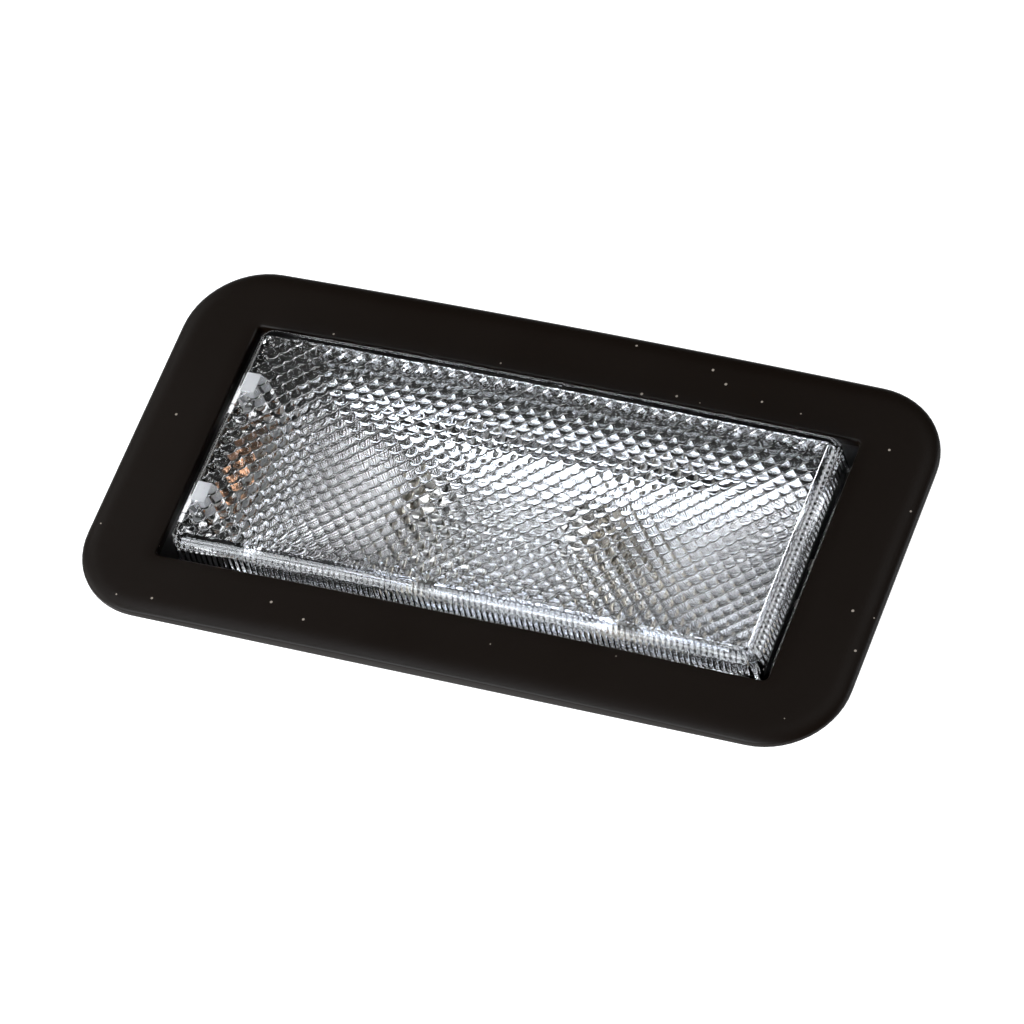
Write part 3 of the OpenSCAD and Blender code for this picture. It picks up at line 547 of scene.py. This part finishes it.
# The prism field: a grid turned by 45 degrees, its lines lowered one family after the other to pillows
def addPrisms(piece):
    prisms = lensShape["prisms"]
    first = countVertices(piece)
    side = prisms["pitch"] / 2 ** 0.5
    cells = int((prisms["length"] + prisms["width"]) / 2 ** 0.5 / side) + 3
    count = cells * prisms["steps"]
    bottom = (lensShape["top"] - lensShape["plate"]) * mm
    centre = (prisms["x"] * mm, prisms["y"] * mm, bottom)
    half = (prisms["length"] / 2 * mm, prisms["width"] / 2 * mm)
    bpy.ops.mesh.select_all(action="DESELECT")
    bpy.ops.mesh.primitive_grid_add(x_subdivisions=count, y_subdivisions=count, size=cells * side * mm,
                                    location=centre)
    for family in (0, 1):
        for k in range(1, prisms["steps"]):
            depth = prisms["height"] * mm * (1 - abs(2 * k / prisms["steps"] - 1) ** prisms["power"])
            corner = centre[family] - cells * side * mm / 2
            pick(piece, lambda index, place: index >= first
                 and round((place[family] - corner) / (side * mm) * prisms["steps"]) % prisms["steps"] == k)
            bpy.ops.transform.translate(value=(0, 0, -depth))
    pick(piece, lambda index, place: index >= first)
    bpy.ops.transform.rotate(value=radians(45), orient_axis="Z", center_override=centre)
    pick(piece, lambda index, place: index >= first and (
        abs(place.x - centre[0]) > half[0] + mm or abs(place.y - centre[1]) > half[1] + mm))
    bpy.ops.mesh.delete(type="VERT")
    for x, y in ((1, 0), (-1, 0), (0, 1), (0, -1)):
        pick(piece, lambda index, place: index >= first)
        border = (centre[0] + x * half[0], centre[1] + y * half[1], bottom)
        bpy.ops.mesh.bisect(plane_co=border, plane_no=(x, y, 0), clear_outer=True)
    pickEdges(piece, lambda edge: all(v.index >= first for v in edge.verts) and len(edge.link_faces) == 1)
    bpy.ops.mesh.extrude_region_move()
    bpy.ops.transform.resize(value=(1, 1, 0), center_override=centre)
    return first, countVertices(piece)


def makeLens():
    piece = openMesh("lensTray")
    top, edge, foot = lensShape["top"], lensShape["edge"], lensShape["foot"]
    bottom, skirt, draft = top - lensShape["plate"], lensShape["skirt"], lensShape["draft"]
    cavity, flutes, prisms = lensShape["cavity"], lensShape["flutes"], lensShape["prisms"]
    spans = []
    for k in range(lensShape["edgeSteps"] + 1):
        turn = pi / 2 * k / lensShape["edgeSteps"]
        spans.append(addLoop(piece, lensLoop(edge * (1 - sin(turn)), top - edge * (1 - cos(turn)))))
        followCrown(piece, spans[-1])
    for z, share in (*lensShape["draftShares"], (foot, 1.0)):
        spans.append(addLoop(piece, lensLoop(-draft * share, z)))
    wallTop = dict(lensLoop(skirt, bottom - flutes["fillet"], flutes["steps"]), **cavity)
    wallFoot = widened(wallTop, flutes["draft"], z=flutes["foot"])
    spans.append(addLoop(piece, widened(wallTop, flutes["mouth"], z=foot + flutes["mouthLift"], fine=1)))
    spans.append(addLoop(piece, dict(wallFoot, z=flutes["foot"] - flutes["runOut"], fine=1)))
    field = dict(wallTop, length=prisms["length"], width=prisms["width"], x=prisms["x"], y=prisms["y"])
    fieldEdge, drop = widened(field, prisms["rim"]), prisms["rimDrop"]
    walls = [(wallFoot, 0, 1), (wallTop, 1, 1)]
    for k in range(1, flutes["filletSteps"] + 1):
        turn = pi / 2 * k / flutes["filletSteps"]
        loop = between(wallTop, fieldEdge, 1 - cos(turn))
        loop["z"] = bottom - drop - (flutes["fillet"] - drop) * (1 - sin(turn))
        walls.append((loop, 1, 1 - k / flutes["filletSteps"]))
    for loop, crowned, share in walls:
        spans.append(addLoop(piece, loop))
        pressFlutes(piece, spans[-1], loop, share)
        followCrown(piece, spans[-1], crowned)
    for a, b in zip(spans[:-1], spans[1:]):
        bridgeLoops(piece, a, b)
    lid = addLid(piece, lensLoop(edge, top))
    followCrown(piece, lid)
    bridgeToRim(piece, *lid, spans[0])
    pillows = addPrisms(piece)
    followCrown(piece, pillows)
    bridgeToRim(piece, *pillows, spans[-1])
    closeMesh(piece, lensShape["smooth"])
    dress(piece, "clearLens", "lens", ["lens"])


makeLens()
print("lens moulded")

# Switch legs and pivot pins of the lens

feet = {
    "legX": -50.2, "legY": 10.8, "width": 3.7, "thickness": 2.1, "root": 3.3, "rootX": -48, "gap": 0.02,
    "depth": 12.6, "barb": 0.8, "barbHeight": 2.0, "barbSlope": 0.1, "waist": 0.1, "stem": 0.12, "step": 0.3,
    "shift": 0.05, "lowShift": 0.03, "soft": 0.12, "frostBelow": 0.2, "pivotZ": -3.0, "pinRadius": 1.4,
    "pinLength": 3.0, "pinSides": 48, "pinSoft": 0.35, "smooth": 40,
}


# Joins rectangles one above the other to a closed form, from (x low, x high, y low, y high, z) of each
def stackRings(piece, rings):
    spans = []
    for left, right, near, far, z in rings:
        first = countVertices(piece)
        centre = ((left + right) / 2 * mm, (near + far) / 2 * mm, z * mm)
        bpy.ops.mesh.select_all(action="DESELECT")
        bpy.ops.mesh.primitive_plane_add(size=1, location=centre)
        bpy.ops.transform.resize(value=((right - left) * mm, (far - near) * mm, 1), center_override=centre)
        if 0 < len(spans) < len(rings) - 1:
            bpy.ops.mesh.delete(type="ONLY_FACE")
        spans.append((first, countVertices(piece)))
    for a, b in zip(spans[:-1], spans[1:]):
        bridgeLoops(piece, a, b)


def softenEdges(piece, width, segments, angle=40):
    soft = piece.modifiers.new("softEdges", "BEVEL")
    soft.width, soft.segments = width * mm, segments
    soft.limit_method, soft.angle_limit = "ANGLE", radians(angle)
    bpy.context.view_layer.objects.active = piece
    bpy.ops.object.modifier_apply(modifier=soft.name)


# The root of a leg is sanded, its stem clear
def frostRoot(leg):
    leg.data.materials.append(materials["frostedLens"])
    bpy.ops.object.select_all(action="DESELECT")
    bpy.context.view_layer.objects.active = leg
    bpy.ops.object.mode_set(mode="EDIT")
    pick(leg, lambda index, place: place.z > (feet["pivotZ"] - feet["frostBelow"]) * mm)
    leg.active_material_index = 1
    bpy.ops.object.material_slot_assign()
    bpy.ops.object.mode_set(mode="OBJECT")


def makeLensFeet():
    rootLeft, rootRight = feet["legX"] + lensShape["skirt"] / 2, feet["legX"] + feet["root"]
    stemLeft, stemRight = feet["legX"], feet["legX"] + feet["thickness"]
    rootTop = lensShape["top"] - lensShape["plate"] + crown(feet["rootX"] * mm) / mm - feet["gap"]
    tip, shift, step = -feet["depth"], feet["shift"], feet["step"]
    barbTop = tip + feet["barbHeight"]
    for side, word in ((-1, "Near"), (1, "Far")):
        near, far = side * feet["legY"] - feet["width"] / 2, side * feet["legY"] + feet["width"] / 2
        waist = (near + feet["waist"], far - feet["waist"])
        stem = (near + feet["stem"], far - feet["stem"])
        leg = openMesh("lensLeg" + word)
        stackRings(leg, [
            (rootLeft, rootRight, near, far, rootTop),
            (rootLeft, rootRight, near, far, feet["pivotZ"] + step),
            (rootLeft + shift, stemRight + shift, *waist, feet["pivotZ"]),
            (rootLeft + shift, stemRight + feet["lowShift"], *waist, lensShape["foot"]),
            (stemLeft, stemRight, *stem, lensShape["foot"] - step),
            (stemLeft, stemRight, *stem, barbTop + feet["barbSlope"]),
            (stemLeft - feet["barb"], stemRight, *stem, barbTop),
            (stemLeft - feet["barb"], stemRight, *stem, tip + feet["barbHeight"] / 2),
            (stemLeft, stemRight, *stem, tip)])
        closeMesh(leg, feet["smooth"])
        softenEdges(leg, feet["soft"], 2)
        dress(leg, "clearLens", "lens", ["lens"])
        frostRoot(leg)
        addPin(side, word)


# A pin starts inside the tray's side wall and stands out at the side
def addPin(side, word):
    inner = side * (lensShape["width"] / 2 + lensShape["draft"] - lensShape["skirt"] / 2)
    length = lensShape["skirt"] / 2 + feet["pinLength"]
    centre = (lensShape["x"] * mm, (inner + side * length / 2) * mm, feet["pivotZ"] * mm)
    bpy.ops.object.select_all(action="DESELECT")
    bpy.ops.mesh.primitive_cylinder_add(vertices=feet["pinSides"], radius=feet["pinRadius"] * mm,
                                        depth=length * mm, rotation=(pi / 2, 0, 0), location=centre)
    pin = bpy.context.object
    pin.name = "lensPin" + word
    bpy.ops.object.mode_set(mode="EDIT")
    bpy.ops.mesh.select_all(action="DESELECT")
    closeMesh(pin, feet["smooth"])
    softenEdges(pin, feet["pinSoft"], 3)
    dress(pin, "clearLens", "lens", ["lens"])


makeLensFeet()
print("legs and pins moulded")

# Reflector: a drawn bright tray, flat in the middle, with long rising ends

tray = {
    "x": 3, "flangeLength": 92.8, "flangeWidth": 43.6, "corner": 5, "mouthLength": 86.6, "mouthWidth": 33.8,
    "mouthCorner": 3.9, "top": -7.0, "depth": 7.0, "sheet": 0.6, "endRun": 31, "sideRun": 8, "dish": 12,
    "bend": 0.8, "drop": 0.1, "spare": 0.4, "rings": 14, "slotX": 16.9, "slotLength": 2.1, "slotWidth": 9.0,
    "arc": 8, "longCuts": 47, "shortCuts": 17, "smooth": 50,
}


def trayLoop(length, width, radius, z):
    return {"x": tray["x"], "length": length, "width": width, "radius": radius, "z": z, "arc": tray["arc"],
            "longCuts": tray["longCuts"], "shortCuts": tray["shortCuts"]}


def makeReflector():
    piece = openMesh("reflectorTray")
    bend = tray["bend"]
    mouth = trayLoop(tray["mouthLength"], tray["mouthWidth"], tray["mouthCorner"], tray["top"])
    loops = [trayLoop(tray["flangeLength"], tray["flangeWidth"], tray["corner"], tray["top"]),
             widened(mouth, bend, radius=mouth["radius"] + bend / 2)]
    for k in range(tray["rings"] + 1):
        run = k / tray["rings"]
        sunk = 1 - (1 - run) ** 2
        length = tray["mouthLength"] - 2 * tray["endRun"] * run
        width = tray["mouthWidth"] - 2 * tray["sideRun"] * run
        radius = min(tray["mouthCorner"] + tray["dish"] * run, min(length, width) / 2 - tray["spare"])
        z = tray["top"] - tray["drop"] - (tray["depth"] - tray["drop"]) * sunk
        loops.append(trayLoop(length, width, radius, z))
    spans = [addLoop(piece, loop) for loop in loops]
    for a, b in zip(spans[:-1], spans[1:]):
        bridgeLoops(piece, a, b)
    pickEdges(piece, lambda edge: all(spans[-1][0] <= v.index < spans[-1][1] for v in edge.verts))
    bpy.ops.mesh.edge_face_add()
    closeMesh(piece, tray["smooth"])
    wall = piece.modifiers.new("sheet", "SOLIDIFY")
    wall.thickness, wall.offset = tray["sheet"] * mm, 1
    bpy.ops.object.modifier_apply(modifier=wall.name)
    for side in (-1, 1):
        cutBox(piece, (side * tray["slotX"], 0, tray["top"] - tray["depth"]),
               (tray["slotLength"], tray["slotWidth"], 2 * tray["depth"]))
    dress(piece, "brightReflector", "housing", ["reflector"])


makeReflector()
print("reflector drawn")

# Which finish each CAD node that stays takes

nodeFinishes = {
    "rear_housing": "blackHousing", "reflector": "brightReflector", "bulb_glass": "bulbGlass",
    "bulb_cap_left": "platedSteel", "bulb_cap_right": "platedSteel", "bulb_filament": "filamentWire",
    "bulb_clip_left": "brassStrip", "bulb_clip_right": "brassStrip", "supply_rivet": "platedSteel",
    "earth_rivet": "platedSteel", "door_rivet": "platedSteel", "supply_terminal": "brassStrip",
    "earth_terminal": "brassStrip", "door_terminal": "brassStrip", "switch_base": "whiteMoulding",
    "switch_leaf": "copperLeaf", "leaf_rivet_near": "platedSteel", "leaf_rivet_far": "platedSteel",
    "switch_contact": "brassStrip", "panel_clip_left": "springSteel", "panel_clip_right": "springSteel",
    "panel_rivets_left": "platedSteel", "panel_rivets_right": "platedSteel",
}
for nodeName, finish in nodeFinishes.items():
    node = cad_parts[nodeName]
    node.data.materials.clear()
    node.data.materials.append(materials[finish])
print("CAD nodes finished")
